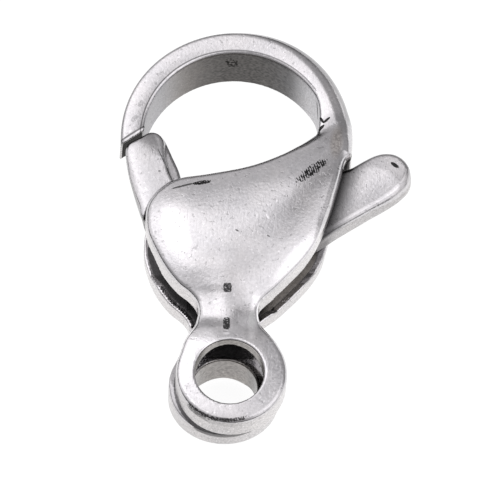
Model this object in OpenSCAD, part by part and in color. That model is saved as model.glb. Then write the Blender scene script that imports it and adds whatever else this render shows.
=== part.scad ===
/* [Overall] */
// Distance from the eye's axis to the middle of the hook's round
hook_rise = 9.1; // [8.6:0.1:10]
// Width across the belly of the two cheeks
belly_w = 6.12; // [5.6:0.02:6.5]
// Height of the cheeks' crown over the middle plane
cheek_h = 1.85; // [1.7:0.05:2.1]
// Width of the slot between the two cheeks
slot_w = 1.44; // [1.2:0.02:1.6]

/* [Hook] */
// Inner radius of the hook's round
hook_in_r = 3.2; // [2.9:0.05:3.4]
// Breadth of the hook's band, from its inner to its outer edge
hook_band = 0.81; // [0.6:0.02:1]
// Thickness of the hook's band
hook_t = 2.44; // [2:0.04:2.7]
// Gap between the hook's end and the gate's tip
gate_gap = 0.08; // [0.05:0.01:0.2]

/* [Eye] */
// Radius of the eye's hole
eye_bore_r = 1.2; // [0.9:0.05:1.25]
// Outer radius of the eye's two rings
eye_r = 1.92; // [1.75:0.05:2.1]
// Thickness of the eye over both rings
eye_t = 3.26; // [2.9:0.02:3.4]
// Depth of the seam groove round the eye
seam_d = 0.16; // [0.08:0.02:0.3]
// How far the back ring sits to the left of the front one
back_skew = 0.2; // [0:0.05:0.25]

/* [Lever] */
// Radius of the pivot pin
pin_r = 0.45; // [0.35:0.05:0.55]
// Running clearance round the pin in the lever
pin_clear = 0.05; // [0.02:0.01:0.08]
// Side clearance between the lever's web and each cheek
web_clear = 0.06; // [0.04:0.01:0.15]
// Radius of the lever's hub
hub_r = 1.6; // [1.4:0.05:1.7]
// Thickness of the gate where it closes the hook
gate_t = 2.2; // [2:0.05:2.4]
// Radius of the thumb pad's round end
thumb_r = 0.92; // [0.8:0.02:1.1]
// Distance from the pivot to the middle of the thumb's round end
thumb_reach = 6.57; // [6.2:0.01:7]

/* [Hidden] */
$fn = 96;
steel = [0.76, 0.75, 0.77];
half_slot = slot_w / 2;
hook_out_r = hook_in_r + hook_band;
half_w = belly_w / 2;
half_hook = hook_t / 2;
half_eye = eye_t / 2;
// The pivot lies in the belly, left of the middle
pivot = [-0.29 * half_w, 0.604 * hook_rise];
// The pivot pin: blind in the front cheek, almost flush with the back one
pin_top = 0.68 * cheek_h;
pin_foot = 0.93 * cheek_h;
fit_gap = 0.01;
half_web = half_slot - web_clear;
// The hub stands a little proud of the web on both sides
hub_up = half_slot - 0.6 * web_clear;
// The cheeks' upper left corner is round about the pivot, and the gate's pad starts just outside it
pad_seat_r = 0.735 * half_w + 0.08;

// One cheek and the root of the hook, from the eye to the fork where the two cheeks join.
// Each row is a straight chord across the cheek: its left end's x and y, its right end's x and y,
// the height of its edges and that of its crown. The x columns are shares of half_w, the y columns
// shares of hook_rise, the heights shares of cheek_h.
cheek_rows = [
    [-0.425, 0.143, 0.376, 0.143, 0.778, 0.865],
    [-0.392, 0.214, 0.333, 0.209, 0.746, 0.843],
    [-0.369, 0.258, 0.307, 0.258, 0.735, 0.832],
    [-0.392, 0.299, 0.317, 0.299, 0.735, 0.832],
    [-0.477, 0.335, 0.386, 0.330, 0.746, 0.854],
    [-0.618, 0.374, 0.507, 0.368, 0.768, 0.897],
    [-0.765, 0.435, 0.663, 0.426, 0.789, 0.946],
    [-0.882, 0.505, 0.794, 0.479, 0.811, 0.978],
    [-0.971, 0.574, 0.908, 0.536, 0.822, 1.000],
    [-0.997, 0.634, 0.984, 0.591, 0.822, 1.000],
    [-0.987, 0.681, 1.039, 0.644, 0.822, 1.000],
    [-0.938, 0.721, 1.078, 0.686, 0.822, 0.995],
    [-0.837, 0.762, 1.111, 0.723, 0.822, 0.984],
    [-0.644, 0.807, 1.141, 0.763, 0.822, 0.973],
    [-0.294, 0.832, 1.173, 0.808, 0.822, 0.962],
    [0.131, 0.866, 1.209, 0.852, 0.811, 0.930],
    [0.458, 0.897, 1.242, 0.892, 0.789, 0.886],
    [0.725, 0.947, 1.275, 0.930, 0.757, 0.822],
    [0.876, 0.998, 1.297, 0.967, 0.703, 0.757],
];
// Where along a chord the points of a cheek's outer surface lie, and how far each has risen
// from the rounded edge (0) to the crown (1)
cheek_across = [0.02, 0, 0, 0.02, 0.09, 0.26, 0.5, 0.74, 0.91, 0.98, 1, 1, 0.98];
cheek_rise = [0, 0, 0, 0.12, 0.45, 0.86, 1, 0.86, 0.45, 0.12, 0, 0, 0];
edge_round = 0.12;
// The back is ground flat where the clasp rests
ground_h = 0.95 * cheek_h;
last = len(cheek_across) - 1;

// The hook's section from its crisp inner edge over the crowned face to its soft outer edge:
// the share of the band's breadth, and the share of the half thickness
hook_across = [0, 0, 0, 0.05, 0.16, 0.34, 0.52, 0.68, 0.81, 0.89, 0.93, 0.96, 0.975];
hook_heights = [0, 0.75, 0.93, 0.98, 0.995, 1, 0.99, 0.95, 0.87, 0.79, 0.72, 0.64, 0];
hook_steps = 24;
// The hook's end is cut slantwise: the angles at which its inner and its outer edge end
end_in = 173;
end_out = 185.4;

function mix(a, b, t) = a + (b - a) * t;

// The inner edge stands in at its root, and the band swells over its right shoulder
hook_heel = 0.36;
hook_swell = 0.1;
function inner_r(a) = hook_in_r - hook_heel * max(0, 1 - pow(a / 25, 2));
function outer_r(a) = hook_out_r + hook_swell * pow(max(0, cos(a - 50)), 2);

// The two ends of chord number i of the whole run, cheek rows first, then the hook
function chord(i) =
    i < len(cheek_rows)
    ? let (r = cheek_rows[i])
        [[r[0] * half_w, r[1] * hook_rise], [r[2] * half_w, r[3] * hook_rise]]
    : let (t = (i - len(cheek_rows)) / hook_steps, a = mix(6, end_in, t), b = mix(0, end_out, t))
        [[inner_r(a) * cos(a), hook_rise + inner_r(a) * sin(a)],
         [outer_r(b) * cos(b), hook_rise + outer_r(b) * sin(b)]];

// Height of point j on chord i over the middle plane
function height(i, j) =
    j == 0 || j == last ? half_slot
    : i >= len(cheek_rows) ? half_hook * hook_heights[j]
    : let (r = cheek_rows[i], e = r[4] * cheek_h, c = r[5] * cheek_h)
        j == 1 || j == last - 1 ? half_slot + edge_round
        : j == 2 || j == last - 2 ? e - edge_round
        : mix(e, c, cheek_rise[j]);

function across(i, j) = i >= len(cheek_rows) ? hook_across[j] : cheek_across[j];

// 1 at the neck, fading to 0 above the belly
function low(y) = min(1, max(0, 1.75 - 2.3 * y / hook_rise));

// The back cheek leans to the left towards the eye, its left edge more than its right one
function skew(y, t) = -back_skew * low(y) * (1.3 - t);

// The left wall of the slot leans out under the front cheek
wall_lean = 0.12;
function lean(j, y, side) = j > 1 ? 0 : side > 0 ? -wall_lean * low(y) : wall_lean * low(y) / 2;

// Point j of chord i, on the front (side 1) or on the back (side -1)
function skin(i, j, side) =
    let (c = chord(i), t = across(i, j), p = mix(c[0], c[1], t), h = height(i, j))
    [p[0] + lean(j, p[1], side) + (side < 0 ? skew(p[1], t) : 0), p[1], side > 0 ? h : -min(h, ground_h)];

// A point on the middle plane at the hook's outer edge
function outer_mid(i) = let (c = chord(i)) [c[1][0], c[1][1], 0];

// Faces between loop a and loop b of a tube, given as lists of point numbers
function band(a, b) = [
    for (k = [0:len(a) - 1])
        let (m = (k + 1) % len(a))
        each [[a[k], b[k], b[m]], [a[k], b[m], a[m]]]
];
function backwards(v) = [for (k = [len(v) - 1:-1:0]) v[k]];

// Hook and both cheeks in one skin: below the fork the section splits into two loops
module hook_and_cheeks() {
    n = len(cheek_rows) + hook_steps + 1;
    fork = len(cheek_rows) - 1;
    per = last + 1;
    points = concat(
        [for (i = [0:n - 1]) for (j = [0:last]) skin(i, j, 1)],
        [for (i = [0:n - 1]) for (j = [0:last]) skin(i, j, -1)],
        [for (i = [0:n - 1]) outer_mid(i)]
    );
    function f(i) = [for (j = [0:last]) i * per + j];
    function b(i) = [for (j = [0:last]) n * per + i * per + j];
    function m(i) = 2 * n * per + i;
    function whole(i) = concat(f(i), [m(i)], backwards(b(i)));
    faces = concat(
        [for (i = [0:fork - 1]) each band(f(i), f(i + 1))],
        [for (i = [0:fork - 1]) each band(backwards(b(i)), backwards(b(i + 1)))],
        [for (i = [fork:n - 2]) each band(whole(i), whole(i + 1))],
        [f(0), backwards(b(0)), concat([m(n - 1)], backwards(f(n - 1)), b(n - 1))],
        [[f(fork)[0], f(fork)[last], m(fork), b(fork)[last], b(fork)[0]]]
    );
    polyhedron(points, faces);
}

// The web that joins the cheeks behind their upper edge, clear of the lever below it
module bridge() {
    w = half_w;
    r = hook_rise;
    outline = [
        [0.10 * w, 0.770 * r], [0.10 * w, 0.853 * r], [0.42 * w, 0.882 * r], [0.69 * w, 0.926 * r],
        [0.93 * w, 0.989 * r], [1.06 * w, 1.022 * r], [1.27 * w, 1.011 * r], [1.265 * w, 0.947 * r],
        [1.01 * w, 0.874 * r], [0.69 * w, 0.804 * r], [0.33 * w, 0.759 * r]
    ];
    translate([0, 0, -half_slot - 0.08])
        linear_extrude(slot_w + 0.16)
            polygon(outline);
}

seam_z = 0.38;
front_ring_x = 0.07;
// The front ring: a flat face with a small round at its edge
module front_ring() {
    edge = 0.18;
    translate([front_ring_x, 0, 0])
        rotate_extrude()
            polygon(concat(
                [[0.4 * eye_r, 0], [eye_r, 0]],
                [for (a = [0:15:90]) [eye_r - edge * (1 - cos(a)), half_eye - edge * (1 - sin(a))]],
                [[0.4 * eye_r, half_eye]]
            ));
}

// The back ring: its edge is a long soft round, and it sits a little to the left and inwards
module back_ring() {
    broad = 0.7;
    high = 1.1;
    translate([-0.7 * back_skew, 0.6 * back_skew, 0])
        rotate_extrude()
            polygon(concat(
                [[0.4 * eye_r, seam_z], [0.4 * eye_r, -half_eye]],
                [for (a = [-90:11.25:0]) [eye_r - broad * (1 - cos(a)), -half_eye + high * (1 + sin(a))]],
                [[eye_r, seam_z]]
            ));
}

// The lever's slot runs out into the eye and closes on the seam: y as a share of eye_r, z as a
// share of half_eye
module slot_run_out() {
    outline = [
        [1.75, half_slot / half_eye], [1.35, half_slot / half_eye + 0.04], [0.63, 0.71], [0.1, 0.42],
        [-0.2, 0.26], [-0.2, 0.205], [0.1, 0.12], [0.63, -0.04], [1.35, -half_slot / half_eye],
        [1.75, -half_slot / half_eye]
    ];
    rotate([90, 0, 90])
        translate([0, 0, -1.5 * eye_r])
            linear_extrude(3 * eye_r)
                polygon([for (p = outline) [p[0] * eye_r, p[1] * half_eye]]);
}

module seam_groove() {
    translate([0, 0, seam_z])
        rotate_extrude()
            polygon([[eye_r - seam_d, 0], [eye_r + 0.4, -0.28], [eye_r + 0.4, 0.28]]);
}

// The back of the eye thins towards its free end
module eye_back_taper() {
    rise = 0.33 * eye_t;
    translate([0, 0.8 * eye_r, -half_eye - 0.01])
        rotate([-atan(rise / (1.8 * eye_r)), 0, 0])
            translate([-2 * eye_r, -4 * eye_r, -half_eye])
                cube([4 * eye_r, 4 * eye_r, half_eye]);
}

// A thin lip on the hook's end stops the gate from swinging outwards
module stop_lip() {
    lip_t = 0.1;
    translate([-hook_out_r, hook_rise, -half_hook / 2])
        linear_extrude(half_hook)
            polygon([
                [0.02, 0], [0.3, 0], [lip_t + 0.05, -0.5], [lip_t + 0.05, -0.73], [0.1, -0.75], [0.05, -0.4]
            ]);
}

module clasp_body() color(steel) difference() {
    union() {
        hook_and_cheeks();
        bridge();
        stop_lip();
        front_ring();
        difference() {
            back_ring();
            eye_back_taper();
        }
    }
    slot_run_out();
    seam_groove();
    translate([0, 0, -eye_t]) cylinder(r = eye_bore_r, h = 2 * eye_t);
    translate([pivot[0], pivot[1], -2 * cheek_h])
        cylinder(r = pin_r + fit_gap, h = 2 * cheek_h + pin_top + fit_gap);
}

// The rounded long edge of the lever's arms, in steps: distance in from the side and down from
// the top, as shares of the round's size
arm_edge = 0.22;
arm_in = [0, 0.1, 0.35, 1];
arm_down = [1, 0.55, 0.15, 0];

// A section given by its upper half, from side to side, set on the chord from a to b
function whole_loop(top, a, b) =
    [for (p = concat(top, backwards([for (q = top) [q[0], -q[1]]])))
        let (xy = mix(a, b, p[0] / norm(b - a))) [xy[0], xy[1], p[1]]];

module loft(loops) {
    per = len(loops[0]);
    function ring(i) = [for (k = [0:per - 1]) i * per + k];
    polyhedron(
        [for (l = loops) each l],
        concat(
            [for (i = [0:len(loops) - 2]) each band(ring(i), ring(i + 1))],
            [ring(0), backwards(ring(len(loops) - 1))]
        )
    );
}

// Chords of the thumb arm from the hub outwards: far end's x and y, near end's x and y, measured
// from the pivot as shares of thumb_reach
thumb_rows = [
    [0.089, 0.191, 0.166, -0.159],
    [0.287, 0.168, 0.318, -0.133],
    [0.470, 0.236, 0.554, -0.012],
    [0.622, 0.335, 0.686, 0.086],
    [0.736, 0.431, 0.828, 0.191],
    [0.793, 0.475, 0.914, 0.236],
];
thumb_at = thumb_reach * [cos(22.6), sin(22.6)];
thumb_way = [cos(34), sin(34)];
thumb_steps = [0, 0.35, 0.62, 0.82, 0.95, 0.995];
half_thumb = 0.72 * half_slot;

function thumb_end(s) =
    let (c = pivot + thumb_at + s * thumb_r * thumb_way, w = thumb_r * sqrt(1 - s * s))
    [c + w * [-thumb_way[1], thumb_way[0]], c - w * [-thumb_way[1], thumb_way[0]]];

function thumb_loop(c, h) =
    let (w = norm(c[1] - c[0]), e = min(arm_edge, 0.45 * w))
    whole_loop(concat(
        [for (k = [0:3]) [arm_in[k] * e, h - arm_down[k] * e]],
        [for (k = [3:-1:0]) [w - arm_in[k] * e, h - arm_down[k] * e]]
    ), c[0], c[1]);

module thumb_arm() {
    root = [for (r = thumb_rows) [pivot + thumb_reach * [r[0], r[1]], pivot + thumb_reach * [r[2], r[3]]]];
    loft(concat(
        [for (c = root) thumb_loop(c, 0.96 * half_web)],
        [for (s = thumb_steps) thumb_loop(thumb_end(s), half_thumb * sqrt(1 - 0.4 * s * s))]
    ));
}

// Chords of the gate from the hub to its slanted tip: outer end's x and y, inner end's x and y, and
// how far the raised pad's inner side stands back from the web's. The x columns are shares of
// hook_out_r, the y columns shares of hook_rise.
gate_rows = [
    [-0.466, 0.510, 0.020, 0.700, 0.20],
    [-0.716, 0.602, -0.137, 0.764, 0.33],
    [-0.748, 0.670, -0.374, 0.780, 0.33],
    [-0.800, 0.747, -0.444, 0.826, 0.33],
    [-0.860, 0.824, -0.486, 0.881, 0.33],
    [-0.903, 0.892, -0.549, 0.942, 0.35],
    [-0.930, 0.943, -0.599, 0.989, 0.32],
    [-0.943, 0.967, -0.636, 1.013, 0.22],
    [-0.883, 0.993, -0.688, 1.024, 0.10],
    [-0.825, 1.018, -0.753, 1.027, 0.05],
];
tip_drop = [0, 0, 0, 0, 0, 0, 0.03, 0.12, 0.3, 0.4];
pad_edge = 0.08;

// One section of the gate: the raised pad with its rounded outer and crisp inner edge, then the web
function gate_loop(r, drop) =
    let (
        a = [r[0] * hook_out_r, r[1] * hook_rise],
        b = [r[2] * hook_out_r, r[3] * hook_rise],
        w = norm(b - a),
        pad = w - r[4],
        h = max(gate_t / 2 - drop, half_web + 0.03),
        e = min(arm_edge, 0.4 * pad),
        c = min(pad_edge, 0.2 * pad, 0.5 * (h - half_web)),
        t = min(pad_edge, 0.4 * r[4])
    )
    whole_loop(concat(
        [for (k = [0:3]) [arm_in[k] * e, h - arm_down[k] * e]],
        [[pad - c, h], [pad, h - c], [pad + 0.2 * r[4], half_web]],
        [[w - t, half_web], [w, half_web - t]]
    ), a, b);

module gate_arm() {
    clear = gate_gap - 0.08;
    way = [0.696, -0.718];
    translate([clear * way[0], clear * way[1], 0])
        difference() {
            loft([for (i = [0:len(gate_rows) - 1]) gate_loop(gate_rows[i], tip_drop[i])]);
            for (side = [-1, 1])
                translate([pivot[0], pivot[1], side * (gate_t / 2 + 0.98 * half_web)])
                    cylinder(r = pad_seat_r, h = gate_t, center = true);
        }
}

module lever() color(steel) difference() {
    union() {
        translate([pivot[0], pivot[1], -hub_up]) cylinder(r = hub_r, h = 2 * hub_up);
        thumb_arm();
        gate_arm();
    }
    translate([pivot[0], pivot[1], -cheek_h]) cylinder(r = pin_r + pin_clear, h = 2 * cheek_h);
}

module pivot_pin() color(steel)
    translate([pivot[0], pivot[1], -pin_foot]) cylinder(r = pin_r, h = pin_foot + pin_top);

clasp_body();
lever();
pivot_pin();
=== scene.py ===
import math

import bpy
import numpy as np
from mathutils import Matrix, Vector


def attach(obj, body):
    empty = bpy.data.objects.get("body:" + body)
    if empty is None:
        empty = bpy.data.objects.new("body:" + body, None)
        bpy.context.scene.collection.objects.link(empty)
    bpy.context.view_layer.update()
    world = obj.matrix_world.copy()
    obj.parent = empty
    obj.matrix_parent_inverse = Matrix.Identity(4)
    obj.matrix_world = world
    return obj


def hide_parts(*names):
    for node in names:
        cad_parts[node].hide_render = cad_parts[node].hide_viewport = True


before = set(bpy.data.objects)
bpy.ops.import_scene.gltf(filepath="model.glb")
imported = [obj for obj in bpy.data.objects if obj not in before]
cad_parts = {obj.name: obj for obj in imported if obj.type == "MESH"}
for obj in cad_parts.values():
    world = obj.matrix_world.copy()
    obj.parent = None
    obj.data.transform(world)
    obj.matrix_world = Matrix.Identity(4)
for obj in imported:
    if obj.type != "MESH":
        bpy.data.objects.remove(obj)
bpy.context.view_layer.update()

# Camera: a long lens that looks down at the clasp from the eye's side, as the photograph does.
# The clasp leans a little to the right in the picture.
MM = 0.001
elevation = math.radians(65.5)
azimuth = math.radians(-1.6)
roll = math.radians(3.4)
picture_pixels = 480
pixels_per_mm = 29.0
distance_mm = 700.0
sensor_mm = 36
towards = Vector((math.sin(azimuth) * math.cos(elevation),
                  -math.cos(azimuth) * math.cos(elevation),
                  math.sin(elevation)))
level = Vector((math.cos(azimuth), math.sin(azimuth), 0))
upright = towards.cross(level)
right = math.cos(roll) * level + math.sin(roll) * upright
up = -math.sin(roll) * level + math.cos(roll) * upright
# Where the middle of the eye's front rim lies in the picture, from the picture's middle
rim_left_pixels, rim_below_pixels = 10.5, 131.3
rim_height_mm = 1.63
aim = Vector((0, 0, rim_height_mm)) + (rim_left_pixels * right + rim_below_pixels * up) / pixels_per_mm
camera_data = bpy.data.cameras.new("camera")
camera_data.sensor_width = sensor_mm
camera_data.lens = sensor_mm * pixels_per_mm * distance_mm / picture_pixels
camera_data.clip_start = 0.01
camera = bpy.data.objects.new("camera", camera_data)
bpy.context.scene.collection.objects.link(camera)
camera.matrix_world = Matrix.Translation((aim + distance_mm * towards) * MM) @ Matrix(
    (right, up, towards)).transposed().to_4x4()
bpy.context.scene.camera = camera


# Floor: a plain white table that glows like a light box, so the clasp casts no hard shadow.
# The clasp lies on it with the flat that is ground on its back.
ground_mm = 1.7575
table_half = 0.4
table_corners = [(side * table_half, end * table_half, -ground_mm * MM)
                 for side, end in ((-1, -1), (1, -1), (1, 1), (-1, 1))]
table_mesh = bpy.data.meshes.new("table")
table_mesh.from_pydata(table_corners, [], [(0, 1, 2, 3)])
table = bpy.data.objects.new("table", table_mesh)
bpy.context.scene.collection.objects.link(table)
table_white = bpy.data.materials.new("table_white")
table_white.use_nodes = True
table_shader = table_white.node_tree.nodes["Principled BSDF"]
table_shader.inputs["Base Color"].default_value = (0.2, 0.2, 0.2, 1)
table_shader.inputs["Roughness"].default_value = 0.9
table_shader.inputs["Emission Color"].default_value = (1, 1, 1, 1)
table_shader.inputs["Emission Strength"].default_value = 0.92
table_mesh.materials.append(table_white)


# Light: a white tent round the table, with soft panels at the left and the right, dimmer cloth
# between them and a dark skirt where the tent meets the table. The skirt draws the thin dark lines
# along the rims. What is seen past the table is plain white.
class Shade:
    def __init__(self, tree, socket=None):
        self.tree, self.socket = tree, socket

    def node(self, kind, settings, inputs, output=0):
        node = self.tree.nodes.new("ShaderNode" + kind)
        for name, value in settings.items():
            setattr(node, name, value)
        for name, value in inputs.items():
            if isinstance(value, Shade):
                self.tree.links.new(value.socket, node.inputs[name])
            else:
                node.inputs[name].default_value = value
        return Shade(self.tree, node.outputs[output])

    def maths(self, operation, a, b=0.0):
        return self.node("Math", {"operation": operation}, {0: a, 1: b})

    def __add__(self, other):
        return self.maths("ADD", self, other)

    __radd__ = __add__

    def __sub__(self, other):
        return self.maths("SUBTRACT", self, other)

    def __rsub__(self, other):
        return self.maths("SUBTRACT", other, self)

    def __mul__(self, other):
        return self.maths("MULTIPLY", self, other)

    __rmul__ = __mul__

    def __truediv__(self, other):
        return self.maths("DIVIDE", self, other)

    def ramp(self, low, high, to_low=0.0, to_high=1.0):
        ends = {"From Min": low, "From Max": high, "To Min": to_low, "To Max": to_high}
        return self.node("MapRange", {"interpolation_type": "SMOOTHSTEP"}, {"Value": self, **ends})


world = bpy.data.worlds.new("light_tent")
world.use_nodes = True
bpy.context.scene.world = world
tent = world.node_tree
sky = Shade(tent).node("TexCoord", {}, {}, "Generated")


def panel(azimuth_deg, elevation_deg, spread_deg):
    a, e = math.radians(azimuth_deg), math.radians(elevation_deg)
    middle = (math.cos(a) * math.cos(e), math.sin(a) * math.cos(e), math.sin(e))
    facing = sky.node("VectorMath", {"operation": "DOT_PRODUCT"}, {0: sky, 1: middle}, "Value")
    return facing.ramp(math.cos(math.radians(spread_deg)), 1)


height = sky.node("SeparateXYZ", {}, {0: sky}, "Z")
cloth = 0.42
for azimuth_deg, elevation_deg, spread_deg, brightness in (
        (150, 22, 45, 0.75),
        (-22, 22, 42, 0.75),
        (180, 62, 32, 0.5),
        (125, 66, 27, 0.95),
        (-5, 64, 32, 0.95),
        (105, 48, 28, 0.28)):
    cloth = cloth + brightness * panel(azimuth_deg, elevation_deg, spread_deg)
skirt_foot, skirt_top = math.radians(3), math.radians(24)
skirt = height.ramp(math.sin(skirt_foot), math.sin(skirt_top), 0.08, 1.0)
# Two low lights shine through the skirt at the right
low_light = 0.85 * panel(40, 8, 50) + 0.7 * panel(-15, 8, 35)
cloth = cloth * skirt.maths("MAXIMUM", skirt, low_light)
tent_shader = tent.nodes["Background"]
tent.links.new(cloth.socket, tent_shader.inputs["Strength"])
tent_shader.inputs["Color"].default_value = (1, 0.985, 1, 1)
cloth_light = Shade(tent, tent_shader.outputs[0])
plain_light = Shade(tent).node("Background", {}, {"Color": (1, 1, 1, 1)})
seen = Shade(tent).node("LightPath", {}, {}, "Is Camera Ray")
both = seen.node("MixShader", {}, {0: seen, 1: cloth_light, 2: plain_light})
tent.links.new(both.socket, tent.nodes["World Output"].inputs["Surface"])
bpy.context.scene.view_settings.view_transform = "Standard"


# The clasp's body: hook, cheeks, neck and eye, one steel casting. It is worked out in mm as a
# distance to its surface, from the outline that the photograph shows and the heights over it.
# Where two surfaces join or cut each other, a small fillet stays, as in any casting.
def smaller(a, b, blend):
    mix = np.maximum(blend - np.abs(a - b), 0) / blend
    return np.minimum(a, b) - mix * mix * blend / 4


def larger(a, b, blend):
    return -smaller(-a, -b, blend)


def rounded(a, b, radius):
    return (np.minimum(np.maximum(a, b) + radius, 0)
            + np.hypot(np.maximum(a + radius, 0), np.maximum(b + radius, 0)) - radius)


# From 0 where the value is at start to 1 where it is at full
def rise(value, start, full):
    return np.clip((value - start) / (full - start), 0, 1)


def eased(share):
    return share * share * (3 - 2 * share)


# A closed smooth curve through the points
def smooth_outline(points, steps=8):
    p = np.array(points, float)
    before, after, next_after = np.roll(p, 1, 0), np.roll(p, -1, 0), np.roll(p, -2, 0)
    t = (np.arange(steps) / steps)[:, None, None]
    curve = 0.5 * (2 * p + (after - before) * t + (2 * before - 5 * p + 4 * after - next_after) * t ** 2
                   + (3 * p - before - 3 * after + next_after) * t ** 3)
    return curve.transpose(1, 0, 2).reshape(-1, 2)


# The distance to a closed outline, less than nought inside it
def outline_distance(outline, x, y):
    nearest = np.full(x.shape, 1e9)
    inside = np.zeros(x.shape, bool)
    for (ax, ay), (bx, by) in zip(outline, np.roll(outline, -1, 0)):
        ex, ey = bx - ax, by - ay
        t = np.clip(((x - ax) * ex + (y - ay) * ey) / (ex * ex + ey * ey + 1e-12), 0, 1)
        nearest = np.minimum(nearest, (x - ax - t * ex) ** 2 + (y - ay - t * ey) ** 2)
        inside ^= ((ay > y) != (by > y)) & (x < ex * (y - ay) / (ey if abs(ey) > 1e-12 else 1e-12) + ax)
    return np.where(inside, -1, 1) * np.sqrt(nearest)


# A map over the plan, read back through cubic blending so that it has no facets
class PlanMap:
    cell = 0.04
    left, bottom, right, top = -4.6, -2.6, 6.9, 13.8

    @classmethod
    def grid(cls):
        return np.meshgrid(np.arange(cls.left, cls.right, cls.cell),
                           np.arange(cls.bottom, cls.top, cls.cell), indexing="ij")

    def __init__(self, values, soften=0.0):
        self.values = values
        if soften:
            width = int(3 * soften / self.cell)
            kernel = np.exp(-0.5 * (np.arange(-width, width + 1) * self.cell / soften) ** 2)
            kernel /= kernel.sum()
            for axis in (0, 1):
                padded = np.pad(self.values, [(width, width) if a == axis else (0, 0) for a in (0, 1)],
                                "edge")
                self.values = np.apply_along_axis(np.convolve, axis, padded, kernel, "valid")

    def __call__(self, x, y):
        u = np.clip((x - self.left) / self.cell, 1, self.values.shape[0] - 3.01)
        v = np.clip((y - self.bottom) / self.cell, 1, self.values.shape[1] - 3.01)
        i, j = u.astype(int), v.astype(int)
        u, v = u - i, v - j

        def weights(t):
            return ((1 - t) ** 3 / 6, (3 * t ** 3 - 6 * t ** 2 + 4) / 6,
                    (-3 * t ** 3 + 3 * t ** 2 + 3 * t + 1) / 6, t ** 3 / 6)

        total = 0
        for a, wa in enumerate(weights(u)):
            for b, wb in enumerate(weights(v)):
                total = total + wa * wb * self.values[i + a - 1, j + b - 1]
        return total


plan_x, plan_y = PlanMap.grid()
# Left and right side of the cheek from the eye up, then the hook's root
cheek_left = [(-1.30, 0.9), (-1.20, 1.95), (-1.13, 2.35), (-1.20, 2.72), (-1.46, 3.05), (-1.89, 3.40),
              (-2.34, 3.96), (-2.70, 4.60), (-2.97, 5.22), (-3.05, 5.77), (-3.02, 6.20), (-2.87, 6.56),
              (-2.56, 6.93), (-1.97, 7.34), (-0.90, 7.57), (0.40, 7.90), (1.40, 8.34), (2.16, 8.86),
              (2.66, 9.28), (2.98, 9.64), (3.22, 9.98), (3.46, 10.3)]
cheek_right = [(1.15, 0.9), (1.02, 1.90), (0.94, 2.35), (0.97, 2.72), (1.18, 3.00), (1.55, 3.35),
               (2.03, 3.88), (2.43, 4.36), (2.78, 4.88), (3.01, 5.38), (3.18, 5.86), (3.30, 6.24),
               (3.40, 6.58), (3.49, 6.94), (3.59, 7.35), (3.68, 7.75), (3.74, 8.08), (3.79, 8.30),
               (3.87, 8.45), (3.98, 8.56), (4.02, 8.80), (4.03, 9.3), (3.98, 9.9), (3.78, 10.4)]
cheek_outline = smooth_outline(cheek_left + cheek_right[::-1])
cheek_side = PlanMap(outline_distance(cheek_outline, plan_x, plan_y))
# Height of the cheek's edge and of its crown over the middle plane, by y
cheek_y = [1.0, 1.3, 1.7, 2.05, 2.4, 2.72, 3.0, 3.37, 3.9, 4.5, 5.0, 6.0,
           6.75, 7.15, 7.45, 7.8, 8.14, 8.54, 8.94, 9.3, 9.7, 10.1, 10.5]
cheek_edge = [1.52, 1.50, 1.43, 1.36, 1.33, 1.34, 1.36, 1.41, 1.46, 1.50, 1.52, 1.52,
              1.52, 1.52, 1.52, 1.50, 1.46, 1.40, 1.33, 1.27, 1.17, 1.05, 0.92]
cheek_crown = [1.65, 1.64, 1.59, 1.54, 1.53, 1.57, 1.63, 1.70, 1.78, 1.82, 1.85, 1.85,
               1.82, 1.80, 1.77, 1.72, 1.65, 1.54, 1.43, 1.34, 1.22, 1.10, 0.96]
depth_in = PlanMap(np.maximum(-cheek_side.values, 0), soften=0.12).values
swell_reach = 0.85
swell = 1 - np.exp(-depth_in / swell_reach)
edge_z = np.interp(plan_y, cheek_y, cheek_edge)
crown_z = np.interp(plan_y, cheek_y, cheek_crown)
cheek_z = edge_z + (crown_z - edge_z) * swell
half_slot = 0.72
ring_r, ring_up = 1.92, rim_height_mm
front_ring_at, back_ring_at = (0.07, 0.0), (-0.15, 0.09)


# A cheek and its ring, seen from above: one outline with filleted corners, under one smooth top
def plate(ring_at):
    r = np.hypot(plan_x - ring_at[0], plan_y - ring_at[1])
    side = PlanMap(smaller(cheek_side.values, r - ring_r, 0.5))
    upward = eased(rise(plan_y, 0.9, 2.0))
    ring_z = ring_up + 0.03 - 0.1 * np.clip(r - 1.2, 0, 0.9)
    return side, PlanMap(ring_z + (cheek_z - ring_z) * upward, soften=0.14)


front_side, front_top = plate(front_ring_at)
back_top = PlanMap(cheek_z, soften=0.14)
# The hook's round, and the slanting cut at its end: a point on it and the way that it faces
hook_y = 9.1
hook_in, hook_out, hook_half = 3.2, 4.0, 1.22
cut_at, cut_way = (-3.55, 8.993), (0.592, -0.806)
# The gate's pad, seen from above: the hook's end is hollowed round it
pad_outline = smooth_outline([
    (-3.12, 6.00), (-3.32, 6.50), (-3.50, 7.00), (-3.68, 7.60), (-3.80, 8.20), (-3.82, 8.58), (-3.73, 8.80),
    (-3.50, 8.95), (-3.29, 9.10), (-3.13, 9.24), (-2.97, 9.33), (-2.75, 9.31), (-2.56, 9.16), (-2.47, 8.95),
    (-2.47, 8.65), (-2.45, 8.35), (-2.38, 8.08), (-2.30, 7.80), (-2.14, 7.42), (-1.97, 6.9), (-2.3, 6.2)])
pad_side = PlanMap(outline_distance(pad_outline, plan_x, plan_y))


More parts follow.
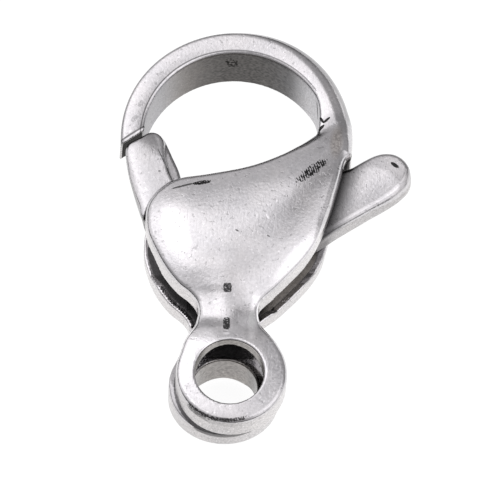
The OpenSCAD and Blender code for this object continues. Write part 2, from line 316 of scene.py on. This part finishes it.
# The hook's round, thicker inwards at its heel and outwards at its shoulder, both at the right
def hook(x, y, z):
    r = np.hypot(x, y - hook_y)
    a = np.arctan2(y - hook_y, x)
    heel = np.maximum(0, 1 - (a / math.radians(33)) ** 2) ** 2
    inner = hook_in - 0.36 * heel
    shoulder = np.maximum(0, np.cos(a - math.radians(30))) ** 3
    outer = hook_out + 0.2 * np.maximum(0, np.cos(a - math.radians(52))) ** 5
    share = (r - inner) / (outer - inner)
    d = np.abs(z) - hook_half + (0.1 + 0.06 * shoulder) * (share - 0.5) ** 2
    d = rounded(d, r - outer, 0.12 + 0.5 * shoulder)
    d = rounded(d, inner - r, 0.1)
    cut = (x - cut_at[0]) * cut_way[0] + (y - cut_at[1]) * cut_way[1] + 0.17 * (1.2 - z)
    bevel = 0.5 * (cut + 0.12) + 0.866 * (np.abs(z) - hook_half)
    cut = np.maximum(cut, bevel)
    seat = np.minimum(0.1 + 0.3 * rise(x, -3.4, -3.7) - pad_side(x, y), 0.55 - z)
    seat = np.minimum(seat, x + 3.9)
    d = larger(d, np.where(x < -1.5, np.maximum(cut, seat), -1), 0.03)
    return larger(d, np.where(x > 0, 8.5 - y, -1), 0.2)


# The web that joins the cheeks under the hook's root
bridge_outline = np.array([(0.31, 7.0), (0.31, 7.76), (1.29, 8.03), (2.11, 8.43), (2.85, 9.0), (3.24, 9.3),
                           (3.89, 9.2), (3.87, 8.62), (3.09, 7.95), (2.11, 7.32), (1.01, 6.91)])
bridge_side = PlanMap(outline_distance(bridge_outline, plan_x, plan_y))
bridge_half = 0.85
# The seam between the eye's two rings, and the slot's run-out into it, seen from the side
seam_z = 0.38
neck_y = 2.6
run_out = np.array([(3.3, 0.48), (2.9, 0.45), (2.3, 0.56), (1.21, 1.157), (0.19, 0.685), (-0.384, 0.424),
                    (-0.384, 0.334), (0.19, 0.196), (1.21, -0.065), (2.4, -0.48), (3.3, -0.48)])
front_bore_r, back_bore_r = 1.2, 1.12
back_bore_at = (-0.13, 0.04)
pivot, pin_hole_r, pin_hole_top = (-0.8874, 5.4964), 0.46, 1.27


def front_plate(x, y, z):
    beside_thumb = 0.15 * rise(x, 2.2, 2.8) * rise(y, 5.2, 6.0) * rise(y, 9.0, 8.0)
    edge = 0.17 + 0.25 * rise(y, 8.3, 9.5) + beside_thumb
    return rounded(z - front_top(x, y), front_side(x, y), edge)


def eye_back(x, y, z):
    r = np.hypot(x - back_ring_at[0], y - back_ring_at[1])
    back = -z - ring_up + 0.28 * np.maximum(1.54 - y, 0)
    return rounded(back, r - ring_r, 0.3)


# The back cheek stands out a little past the front one, low down on both sides
def back_plate(x, y, z):
    to_right = rise(x, -1.3, 1.3)
    low_down = np.clip(1.75 - 2.3 * y / hook_y, 0, 1)
    lean = 0.26 * low_down * (1 - to_right) * rise(y, 6.0, 4.5)
    lean = lean - 0.13 * to_right * rise(y, 6.6, 5.4) * rise(y, 2.2, 3.2)
    d = rounded(-z - back_top(x + lean, y), cheek_side(x + lean, y), 0.25)
    return smaller(d, eye_back(x, y, z), 0.25)


# The slot for the lever narrows at the cheeks' lower edges, where the lever doesn't swing
def half_slot_at(x, y):
    at_left = 0.24 * rise(x, -1.0, -1.5) * rise(y, 4.6, 4.1)
    at_right = 0.13 * rise(x, 1.0, 1.5) * rise(y, 4.9, 4.4)
    at_neck = 0.24 * rise(y, 3.5, 3.2)
    return half_slot - np.maximum(np.maximum(at_left, at_right), at_neck)


def eye_bore(x, y, z):
    front_bore = np.hypot(x, y) - front_bore_r
    back_bore = np.hypot(x - back_bore_at[0], y - back_bore_at[1]) - back_bore_r
    return np.where(z > seam_z, front_bore, back_bore)


def body_distance(x, y, z):
    half = half_slot_at(x, y)
    front = larger(front_plate(x, y, z), np.where(y > neck_y, half, seam_z - 0.08) - z, 0.05)
    back = larger(back_plate(x, y, z), np.where(y > neck_y, half, -seam_z) + z, 0.05)
    d = smaller(front, back, 0.02)
    d = smaller(d, rounded(np.abs(z) - bridge_half, bridge_side(x, y), 0.03), 0.05)
    d = smaller(d, hook(x, y, z), 0.12)
    wedge = outline_distance(run_out, y + 0 * z, z + 0 * y)
    d = larger(d, -wedge, 0.05)
    r = np.hypot(x - 0.5 * (front_ring_at[0] + back_ring_at[0]), y - 0.5 * back_ring_at[1])
    groove = np.maximum(0.82 * np.abs(z - seam_z) - 0.57 * (r - ring_r + 0.17), r - 2.15)
    d = larger(d, -groove, 0.05)
    d = rounded(d, -eye_bore(x, y, z), 0.07)
    pin_hole = np.maximum(np.hypot(x - pivot[0], y - pivot[1]) - pin_hole_r, z - pin_hole_top)
    d = larger(d, -pin_hole, 0.02)
    return larger(d, -z - ground_mm, 0.03)


# The body as if its slot were filled: how deep a point lies below that skin says how much it is darkened,
# with dark residue of the casting and painted shade of the slot
def filled_distance(x, y, z):
    front = np.maximum(front_plate(x, y, z), -0.1 - z)
    back = np.maximum(back_plate(x, y, z), z - 0.1)
    return np.maximum(np.minimum(np.minimum(front, back), hook(x, y, z)), -eye_bore(x, y, z))


# Residue and painted shade: the colour darkens deep in the slot and in corners, where another wall is close,
# as shade falls. On the lever painted shadow also lies on the thumb's arm just outside the cheek, but not on
# the gate.
def residue_and_shade(p, normal, others, on_lever):
    x, y, z = p.T
    filled = filled_distance(x, y, z)
    near = 0
    if on_lever:
        filled = np.where(x < 0, np.maximum(filled, 1), filled)
        near = 0.55 * rise(filled, 0.7, 0) ** 2
    thin_rim = rise(y, 4.2, 4.6) * rise(y, 5.8, 5.65) * (x < -2)
    deep = eased(rise(-filled, 0.12 - 0.05 * thin_rim, 0.32 - 0.15 * thin_rim))
    close = 0
    for away, share in ((0.08, 0.4), (0.18, 0.35), (0.35, 0.25)):
        gap = np.min([other(*(p + away * normal).T) for other in others], 0)
        close = close + share * rise(gap, away, 0)
    return np.maximum(np.maximum(deep, near), np.clip(1.2 * close - 0.15, 0, 0.8))


# Puts a skin of small squares on the surface where the distance is nought
def skin(distance, low, high, step):
    axes = [np.arange(a, b + step, step) for a, b in zip(low, high)]
    f = distance(axes[0][:, None, None], axes[1][None, :, None], axes[2][None, None, :])
    inner = f < 0
    n = np.array(f.shape) - 1
    corner = [(i, j, k) for i in (0, 1) for j in (0, 1) for k in (0, 1)]

    def part(a, c):
        return a[c[0]:c[0] + n[0], c[1]:c[1] + n[1], c[2]:c[2] + n[2]]

    count = sum(part(inner, c).astype(np.int8) for c in corner)
    cell = np.argwhere((count > 0) & (count < 8))
    number = np.full(tuple(n), -1)
    number[tuple(cell.T)] = np.arange(len(cell))
    total, hits = np.zeros((len(cell), 3)), np.zeros(len(cell))
    for axis in range(3):
        for c in corner:
            if c[axis]:
                continue
            end = list(c)
            end[axis] = 1
            a, b = f[tuple((cell + c).T)], f[tuple((cell + end).T)]
            crossing = (a < 0) != (b < 0)
            point = cell + np.array(c, float)
            point[:, axis] += a / np.where(crossing, a - b, 1)
            total += point * crossing[:, None]
            hits += crossing
    vertex = total / hits[:, None] * step + [a[0] for a in axes]
    faces = []
    for axis in range(3):
        u, v = (axis + 1) % 3, (axis + 2) % 3
        here = [slice(1, None)] * 3
        here[axis] = slice(0, -1)
        there = list(here)
        there[axis] = slice(1, None)
        a, b = inner[tuple(here)], inner[tuple(there)]
        at = np.argwhere(a != b)
        offset = np.ones(3, int)
        offset[axis] = 0
        at = at + offset
        at = at[(at[:, u] < n[u]) & (at[:, v] < n[v])]
        quad = []
        for du, dv in ((1, 1), (0, 1), (0, 0), (1, 0)):
            q = at.copy()
            q[:, u] -= du
            q[:, v] -= dv
            quad.append(number[tuple(q.T)])
        quad = np.stack(quad, 1)
        out = inner[tuple(at.T)]
        faces.append(np.where(out[:, None], quad, quad[:, ::-1]))
    return vertex, np.concatenate(faces)


# How the distance grows along x, y and z: the way in which the surface faces
def slope(distance, p, reach):
    g = np.empty_like(p)
    for axis in range(3):
        q, r = p.copy(), p.copy()
        q[:, axis] += reach
        r[:, axis] -= reach
        g[:, axis] = (distance(*q.T) - distance(*r.T)) / (2 * reach)
    return g


# A mesh of the surface, its points moved right onto it and shaded by its own slope
def solid_piece(name, distance, low, high, step):
    vertex, faces = skin(distance, low, high, step)
    for _ in range(3):
        g = slope(distance, vertex, 0.004)
        move = distance(*vertex.T)[:, None] * g / np.maximum((g * g).sum(1), 0.1)[:, None]
        vertex -= np.clip(move, -0.5 * step, 0.5 * step)
    normal = slope(distance, vertex, 0.03)
    normal /= np.linalg.norm(normal, axis=1)[:, None]
    mesh = bpy.data.meshes.new(name)
    mesh.from_pydata((vertex * MM).tolist(), [], faces.tolist())
    mesh.shade_smooth()
    mesh.normals_split_custom_set_from_vertices(normal.tolist())
    piece = bpy.data.objects.new(name, mesh)
    bpy.context.scene.collection.objects.link(piece)
    return piece, vertex, normal


def note_residue_and_shade(piece, vertex, normal, others, on_lever=False):
    layer = piece.data.attributes.new("residue_and_shade", "FLOAT", "POINT")
    layer.data.foreach_set("value", residue_and_shade(vertex, normal, others, on_lever).astype(np.float32))


# Tumbled steel: satin with fine grain, pits and hair scratches. Walls that the tumbling doesn't reach
# are rougher and browner, and slots and corners keep a dark residue of the casting with painted shade over
# it.
class Steel:
    plain_tone = 0.63
    plain_roughness = 0.1
    relief_mm = 0.03

    def __init__(self, name):
        self.material = bpy.data.materials.new(name)
        self.material.use_nodes = True
        tree = self.tree = self.material.node_tree
        self.shader = tree.nodes["Principled BSDF"]
        self.shader.inputs["Metallic"].default_value = 1
        place = Shade(tree).node("TexCoord", {}, {}, "Object")
        self.place = place.node("VectorMath", {"operation": "SCALE"}, {0: place, "Scale": 1 / MM})
        self.x, self.y, self.z = [place.node("SeparateXYZ", {}, {0: self.place}, axis) for axis in "XYZ"]
        direction = Shade(tree).node("TexCoord", {}, {}, "Normal")
        facing = direction.node("SeparateXYZ", {}, {0: direction}, "Z")
        self.wall = (facing * facing).ramp(0.2, 0.03)
        note = Shade(tree).node("Attribute", {"attribute_name": "residue_and_shade"}, {}, "Fac")
        # How dark with residue and painted shade, how dull, how brown and how bright a place is, painted
        # highlights included; sections add to these
        self.dark = note.ramp(0.05, 0.9)
        self.dull = self.dark
        self.warm = 0.5 * self.wall
        self.grit = self.noise(20.0, 4.0)
        self.grain = self.noise(10.0, 5.0)
        self.kept = 1.0
        self.covered = 0.0
        self.crust_and_shade = 0.012
        self.shine = 0.0

    def noise(self, scale, detail=3.0, stretch=None):
        at = self.place
        if stretch:
            at = at.node("VectorMath", {"operation": "MULTIPLY"}, {0: at, 1: stretch})
        return at.node("TexNoise", {}, {"Vector": at, "Scale": scale, "Detail": detail})

    def spot(self, at, size, turn=0.0, edge=0.5, plane="xy", square=False):
        c, s = math.cos(math.radians(turn)), math.sin(math.radians(turn))
        a, b = getattr(self, plane[0]) - at[0], getattr(self, plane[1]) - at[1]
        u = (a * c + b * s) / size[0]
        v = (b * c - a * s) / size[1]
        u, v = u * u, v * v
        if square:
            u, v = u * u, v * v
        return (u + v).ramp(1 + edge, 1 - edge)

    # Darkens the colour under the mask: real stains and wear, and also painted shade and painted reflections
    def stain_and_shade(self, mask, strength, ragged=0.0):
        if ragged:
            mask = mask * (1 + ragged * (self.grit - 0.5)) - 0.25 * ragged * (0.6 - self.grit)
            mask = mask.ramp(0.35, 0.65)
        self.kept = (1 - strength * mask) * self.kept

    # Where the steel is covered, a matte crust lies over it: residue in some places, a dark sheet of painted
    # shade in others
    def cover(self, mask):
        self.covered = 1 - (1 - mask) * (1 - self.covered)

    def finish(self):
        grain = self.grain
        cloud = self.noise(0.9, 2.0)
        pit = self.noise(6.0, 2.0).ramp(0.36, 0.30)
        fleck = self.noise(8.0, 1.0).ramp(0.66, 0.72)
        scratch = self.noise(3.0, 2.0, (9.0, 0.8, 1.0)).ramp(0.60, 0.72)
        value = self.plain_tone + 0.3 * (grain - 0.5) + 0.16 * (cloud - 0.5) - 0.12 * pit - 0.03 * scratch
        value = (value + 0.12 * fleck + self.shine) * (1 + 1.3 * self.wall * (self.grit - 0.5))
        value = value * (1 - 0.82 * self.dark) * self.kept
        warm = self.warm + 0.8 * (cloud - 0.5)
        red = value * (1 + 0.02 * warm)
        green = value * (0.98 - 0.01 * warm)
        blue = value * (1 - 0.05 * warm)
        colour = value.node("CombineColor", {}, {0: red, 1: green, 2: blue})
        self.tree.links.new(colour.socket, self.shader.inputs["Base Color"])
        rough = self.plain_roughness + 0.16 * (grain - 0.5) + 0.06 * cloud
        rough = rough + 0.35 * self.dull + 0.1 * self.wall
        self.tree.links.new(rough.socket, self.shader.inputs["Roughness"])
        relief = 0.6 * grain - 0.5 * pit - 0.15 * scratch
        bump = relief.node("Bump", {}, {"Height": relief, "Strength": 0.22, "Distance": self.relief_mm * MM})
        self.tree.links.new(bump.socket, self.shader.inputs["Normal"])
        if isinstance(self.covered, Shade):
            brown = {0: self.crust_and_shade, 1: 0.93 * self.crust_and_shade, 2: 0.85 * self.crust_and_shade}
            tone = self.covered.node("CombineColor", {}, brown)
            matte = {"Base Color": tone, "Roughness": 1, "Specular IOR Level": 0}
            over = self.covered.node("BsdfPrincipled", {}, matte)
            bare = Shade(self.tree, self.shader.outputs[0])
            both = self.covered.node("MixShader", {}, {0: self.covered, 1: bare, 2: over})
            self.tree.links.new(both.socket, self.tree.nodes["Material Output"].inputs["Surface"])
        return self.material


body_low, body_high, body_step = (-4.3, -2.2, -1.9), (4.4, 13.4, 2.0), 0.065
body, body_points, body_normals = solid_piece("steel_body", body_distance, body_low, body_high, body_step)
note_residue_and_shade(body, body_points, body_normals, (body_distance,))
body_steel = Steel("body_finish")
x, y, z = body_steel.x, body_steel.y, body_steel.z
front = z.ramp(0.7, 0.9)
# The hook's inner wall kept its cast skin: dull, brown and dark, most at the round's top
from_hook = x * x + (y - hook_y) * (y - hook_y)
cast_skin = from_hook.ramp(3.27 ** 2, 3.2 ** 2) * y.ramp(8.2, 9.0) * (z * z).ramp(1.2 ** 2, 1.12 ** 2)
middle = ((x - 0.3) * (x - 0.3)).ramp(3.2 ** 2, 0)
mottle = body_steel.grain - 0.5
skin_stain = cast_skin * (0.25 + 0.61 * middle) * (1 + 0.5 * mottle)
body_steel.stain_and_shade(skin_stain * (1 - 0.85 * x.ramp(1.7, 2.7)), 1.0)
blot = body_steel.spot((-0.19, 0.42), (0.22, 0.42), 20, edge=0.95, plane="xz") + 5 * mottle
blot = cast_skin * blot.ramp(0.75, 1.1)
body_steel.cover(blot * body_steel.spot((-0.19, 0.42), (0.3, 0.5), 0, plane="xz") * 0.8)
stroke = body_steel.spot((10.56, 0.45), (0.55, 0.05), 77, plane="yz")
body_steel.cover(cast_skin * stroke * 0.85 * x.ramp(0.0, 1.0))
# Painted reflections: thin dark lines along the hook's rims. Painted shade greys its outer rim at the right
body_steel.stain_and_shade(front * from_hook.ramp(3.92 ** 2, 3.97 ** 2) * x.ramp(0.5, -1.0) * y.ramp(8.3, 8.6), 0.5)
inner_line = ((from_hook - 3.32 ** 2) * (from_hook - 3.32 ** 2)).ramp(0.22 ** 2, 0.08 ** 2)
body_steel.stain_and_shade(front * inner_line * (y - 0.65 * x).ramp(9.0, 9.4), 0.6, 1.0)
to_shoulder = (0.8 * x + 0.6 * (y - hook_y)).ramp(2.3, 3.8)
outer_rim = from_hook.ramp(3.8 ** 2, 3.98 ** 2)
body_steel.stain_and_shade(to_shoulder * outer_rim * z.ramp(0.0, 0.4) * y.ramp(9.6, 10.2), 0.4)
# Painted shade: where the lever comes out beside the hook's root, a dark matte sheet covers the slot
opening = x.ramp(3.55, 3.65) * y.ramp(8.78, 8.66) * y.ramp(7.9, 8.0)
body_steel.cover(0.85 * opening * z.ramp(1.05, 0.9) * z.ramp(-0.5, -0.3))
# The hook's end: painted shade covers its end face black in the gap to the gate, below the bright rim, and a
# painted reflection draws a dark line along the rim
to_end = (x - cut_at[0]) * cut_way[0] + (y - cut_at[1]) * cut_way[1]
end_wall = to_end.ramp(-0.42, -0.38) * from_hook.ramp(3.22 ** 2, 3.28 ** 2)
end_wall = end_wall * from_hook.ramp(3.96 ** 2, 3.91 ** 2)
body_steel.cover(0.93 * end_wall * z.ramp(1.12, 1.04) * x.ramp(-2.6, -2.9))
edge_line = ((to_end + 0.12) * (to_end + 0.12)).ramp(0.04 ** 2, 0.015 ** 2)
body_steel.stain_and_shade(front * edge_line * x.ramp(-2.6, -2.9) * y.ramp(8.6, 8.8), 0.7)
# The eye: dull bores, dark where the two rings meet, and a painted reflection round the front rim's foot:
# one ragged dark line
from_eye = x * x + y * y
bore_wall = from_eye.ramp(1.3 ** 2, 1.24 ** 2) * (z * z).ramp(1.6 ** 2, 1.52 ** 2)
body_steel.stain_and_shade(bore_wall * (0.56 + 0.9 * mottle), 1.0)
body_steel.stain_and_shade(bore_wall * x.ramp(0.5, 0.95) * z.ramp(0.7, 0.5), 0.6)
body_steel.dark = body_steel.dark * (1 - 0.7 * y.ramp(2.5, 2.2))
from_ring = (x - front_ring_at[0]) * (x - front_ring_at[0]) + y * y
rings_meet = from_ring.ramp(2.0 ** 2, 1.94 ** 2) * ((z - 0.27) * (z - 0.27)).ramp(0.2 ** 2, 0.12 ** 2)
body_steel.stain_and_shade(rings_meet * y.ramp(1.2, 0.6), 0.7, 2.0)
# Painted reflection: a ragged dark line round the front rim's foot, with painted grey shade above it
from_line = (x + 0.05) * (x + 0.05) + y * y - 1.815 ** 2
rim_line = (from_line * from_line).ramp(0.28 ** 2, 0.06 ** 2)
body_steel.stain_and_shade(z.ramp(1.2, 1.3) * rim_line * y.ramp(-1.1, -1.35) * x.ramp(0.9, 0.4), 0.85, 5.0)
body_steel.stain_and_shade(z.ramp(1.2, 1.3) * from_line.ramp(-1.1, 0.1) * y.ramp(-1.1, -1.35) * x.ramp(0.9, 0.0), 0.2)
body_steel.stain_and_shade(body_steel.wall * y.ramp(1.2, 0.4) * x.ramp(1.3, 0.0), 0.17)
# The crust is thinner and paler on the slot's right walls and where the slot runs out at the eye
right_slot = x.ramp(0.8, 1.4) * y.ramp(6.2, 5.2) * y.ramp(1.8, 2.2) * body_steel.dark.ramp(0.4, 0.8)
hollow = y.ramp(2.3, 2.1) * y.ramp(-1.0, 0.0) * body_steel.dark.ramp(0.4, 0.8)
body_steel.cover((0.75 * right_slot + 0.6 * hollow) * (0.8 + 1.2 * mottle))
body_steel.crust_and_shade = body_steel.crust_and_shade + 0.5 * right_slot + 0.3 * hollow
# Marks on the front: place, half length and half width, turn, depth of the stain and how ragged it is
for at, size, turn, strength, ragged in (
        ((-1.14, 7.13), (0.32, 0.085), 12, 0.95, 4.0),
        ((-1.75, 6.99), (0.48, 0.040), 17, 0.8, 3.0),
        ((2.96, 9.86), (0.14, 0.045), -61, 0.95, 1.0),
        ((3.12, 9.86), (0.17, 0.045), 45, 0.95, 1.0),
        ((2.90, 9.52), (0.22, 0.060), 48, 0.95, 1.0),
        ((0.12, 5.26), (0.07, 0.030), -30, 0.75, 1.0),
        ((1.21, 5.11), (0.06, 0.025), -30, 0.7, 1.0),
        ((-3.35, 10.25), (0.14, 0.08), 60, 0.25, 3.0),
        ((-3.54, 9.67), (0.16, 0.09), 50, 0.25, 3.0)):
    body_steel.stain_and_shade(front * body_steel.spot(at, size, turn), strength, ragged)
# Painted reflections: two dark squares on the neck
for at, size in (((-0.15, 3.19), (0.145, 0.165)), ((-0.15, 1.86), (0.12, 0.25))):
    body_steel.stain_and_shade(front * body_steel.spot(at, size, square=True), 0.9, 3.0)
# Painted shade and painted reflections, as soft grey patches: place, half length and half width, turn and
# depth
for at, size, turn, strength in (
        ((-0.62, 3.17), (0.50, 0.14), 0, 0.25),
        ((-0.62, 1.90), (0.52, 0.20), 0, 0.30),
        ((0.20, 2.60), (0.35, 0.70), 0, 0.18),
        ((-0.79, 2.74), (0.25, 0.40), 0, 0.14),
        ((-0.25, 4.14), (1.10, 0.60), 0, 0.10),
        ((3.00, 8.80), (0.45, 0.30), 40, 0.12),
        ((-2.75, 5.90), (0.28, 1.00), 10, 0.14),
        ((3.35, 9.55), (0.60, 0.45), 60, 0.28)):
    body_steel.stain_and_shade(front * body_steel.spot(at, size, turn, edge=0.95), strength)
speckled = front * body_steel.spot((3.48, 8.95), (0.6, 0.2), 86, edge=0.95)
body_steel.stain_and_shade(speckled * (0.5 + 4 * mottle).ramp(0.0, 1.0), 0.45)
body_steel.warm = body_steel.warm + 1.3 * speckled
# Bright flecks, and painted highlights as bright patches, in the same order
for at, size, turn, strength in (
        ((1.16, 5.83), (0.10, 0.035), -60, 0.3),
        ((-0.14, 1.45), (0.10, 0.05), 0, 0.3),
        ((2.93, 9.67), (0.14, 0.03), 45, 0.3),
        ((0.80, 2.15), (0.16, 0.80), -4, 0.3),
        ((-0.95, 1.25), (0.45, 0.40), 0, 0.3),
        ((0.55, 2.10), (0.30, 0.35), 0, 0.25),
        ((-1.45, 0.45), (0.22, 0.90), -8, 0.2),
        ((2.30, 4.60), (1.30, 0.22), 52, 0.2),
        ((1.50, 0.10), (0.25, 0.90), 0, 0.1),
        ((-2.00, 5.25), (0.42, 0.80), 15, 0.15)):
    body_steel.shine = body_steel.shine + strength * front * body_steel.spot(at, size, turn, edge=0.95)
# A rough hatch of short strokes beside the thumb tab
hatch = body_steel.spot((2.64, 7.71), (0.70, 0.17), 42, edge=0.95)
across_strokes = 72 * (x + 0.35 * y + 0.12 * mottle)
strokes = across_strokes.maths("SINE", across_strokes)
strokes = hatch * (0.8 + 0.5 * strokes) + 3.5 * mottle
body_steel.stain_and_shade(front * strokes.ramp(0.4, 0.75) * hatch.ramp(0.0, 0.3), 0.95)
cooler_sides = x.ramp(0.5, 2.2) + x.ramp(-1.6, -2.8)
body_steel.warm = body_steel.warm + cast_skin * (1.2 - 1.9 * cooler_sides) + 1.2 * bore_wall
body_steel.dull = body_steel.dark.maths("MAXIMUM", body_steel.dark, 0.7 * cast_skin)
body.data.materials.append(body_steel.finish())
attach(body, "shell")
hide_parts("clasp_body")


# The lever: thumb tab, hub and gate in one steel casting. It turns on the pin between the cheeks,
# and a small spring in the belly presses its gate against the hook's end.
lever_outline = smooth_outline([
    (1.0, 6.60), (2.2, 7.05), (3.0, 7.60), (3.40, 8.02), (3.70, 8.26), (4.02, 8.40), (4.50, 8.74),
    (4.85, 8.95), (5.19, 9.04), (5.54, 9.00), (5.84, 8.81), (6.05, 8.50), (6.13, 8.12), (6.05, 7.82),
    (5.86, 7.57), (5.62, 7.35), (5.24, 7.10), (4.83, 6.86), (4.49, 6.63), (3.62, 6.04), (2.75, 5.42),
    (1.2, 4.62), (0.2, 4.2), (-1.0, 4.1), (-2.3, 4.70), (-2.85, 5.40), (-3.12, 6.00), (-3.32, 6.50),
    (-3.50, 7.00), (-3.68, 7.60), (-3.80, 8.20), (-3.82, 8.58), (-3.73, 8.80), (-3.50, 8.97),
    (-3.29, 9.14), (-3.14, 9.26), (-3.00, 9.34), (-2.78, 9.38), (-2.56, 9.26), (-2.41, 9.04),
    (-2.20, 8.57), (-1.95, 8.02), (-1.78, 7.52), (-1.50, 7.18), (-0.75, 6.92), (0.08, 6.62)])
lever_side = PlanMap(outline_distance(lever_outline, plan_x, plan_y))
lever_bore_r = 0.5
pad_foot_r = 2.28


def lever_distance(x, y, z):
    from_pivot = np.hypot(x - pivot[0], y - pivot[1])
    # The arm and the thumb tab, bevelled along their lower side
    outward = eased(rise(x, 2.6, 5.6))
    lower = 0.53 * (x - 4.8) - 0.85 * (y - 7.75)
    half = 0.66 - 0.10 * rise(x, 1.0, 1.8) - 0.04 * outward - 0.08 * outward * np.clip(lower, -1, 1) ** 2
    bevel = 0.11 + 0.17 * rise(x, 4.9, 5.8)
    edge = 0.14 - 0.04 * rise(x, -1.5, -2.0) + bevel * rise(lower, 0.02, 0.42)
    undercut = 0.13 * (1 - z) * rise(x, -2.3, -2.9)
    d = rounded(np.abs(z) - half, lever_side(x, y) + undercut, edge)
    # The gate's pad, crowned across and falling off at its tip, ends in a round beside the cheek
    left = -3.16 - 0.3 * (y - 6.1)
    right = -1.97 - 0.385 * (y - 6.9)
    across = rise(x, left, right)
    tip = rise(y + 0.3 * (x + 3.4), 8.85, 9.35)
    crown = 1.1 - 0.12 * (1 - across) ** 6 - 0.05 * tip ** 2
    crown = crown - 0.07 * rise(y, 8.3, 8.9) * rise(1.4 * across, 0.4, 1.4) ** 2
    pad_edge = 0.1 + 0.07 * rise(y, 8.4, 9.0)
    pad = rounded(np.abs(z) - crown, pad_side(x, y) + undercut, pad_edge)
    pad = larger(pad, pad_foot_r - from_pivot, 0.05)
    d = smaller(d, pad, 0.06 + 0.1 * rise(y, 8.4, 8.9))
    return larger(d, lever_bore_r - from_pivot, 0.03)


lever_low, lever_high, lever_step = (-4.0, 3.9, -1.3), (6.3, 9.6, 1.3), 0.05
lever, lever_points, lever_normals = solid_piece("steel_lever", lever_distance, lever_low, lever_high,
                                                 lever_step)
note_residue_and_shade(lever, lever_points, lever_normals, (body_distance, lever_distance), on_lever=True)
lever_steel = Steel("lever_finish")
x, y, z = lever_steel.x, lever_steel.y, lever_steel.z
front = z.ramp(0.3, 0.45)
# Painted shadow of the cheek on the arm, painted shade on the thumb's rounded end and upper edge, a nick,
# and painted reflections: a dark line at the pad's foot
from_cheek = x - 3.18 - 0.269 * (y - 5.86)
lever_steel.stain_and_shade(front * from_cheek.ramp(0.9, 0.1) * x.ramp(2.0, 2.6), 0.78)
thumb_rim = lever_steel.spot((4.75, 7.45), (1.0, 1.0), edge=0.3).ramp(1.0, 0.0)
lever_steel.stain_and_shade(front * thumb_rim * x.ramp(4.0, 4.6), 0.28)
lever_steel.stain_and_shade(lever_steel.spot((5.55, 8.55), (0.18, 0.07), -35), 0.95, 2.0)
lever_steel.stain_and_shade(lever_steel.spot((-2.62, 7.75), (0.05, 0.035), 0), 0.6, 0.8)
lever_steel.stain_and_shade(front * lever_steel.spot((-2.56, 8.30), (0.35, 0.022), -66), 0.6, 0.8)
lever_steel.stain_and_shade(front * lever_steel.spot((-2.26, 7.66), (0.32, 0.035), -66), 0.85, 1.2)
lever_steel.stain_and_shade(lever_steel.wall * x.ramp(-2.6, -2.9), 0.6)
lever_steel.stain_and_shade(front * x.ramp(-1.5, -2.0), 0.12)
# Painted shade: the gate darkens towards the hook's end, its walls in the gap most
to_end = (x - cut_at[0]) * cut_way[0] + (y - cut_at[1]) * cut_way[1]
lever_steel.stain_and_shade(front * to_end.ramp(0.32, 0.08) * x.ramp(-2.2, -2.6), 0.28)
lever_steel.stain_and_shade(lever_steel.wall * to_end.ramp(0.35, 0.2) * z.ramp(0.9, 0.75), 0.9)
lever_steel.stain_and_shade(lever_steel.wall, 0.24)
# Painted shade: the web beside the pad is flat and painted greyer
gate = x.ramp(-1.5, -1.9)
lever_steel.stain_and_shade(front * gate * z.ramp(0.75, 0.7) * (1 - lever_steel.wall), 0.4)
lever_steel.dark = lever_steel.dark * (1 - 0.5 * gate)
lever.data.materials.append(lever_steel.finish())
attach(lever, "trigger")
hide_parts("lever")


# The pivot pin: a plain round steel pin that the lever turns on. It is pressed in from the back
# and ends inside the front cheek, so the front shows nothing of it.
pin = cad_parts["pivot_pin"]
pin_finish = Steel("pin_finish").finish()
for pin_slot in pin.material_slots:
    pin_slot.material = pin_finish
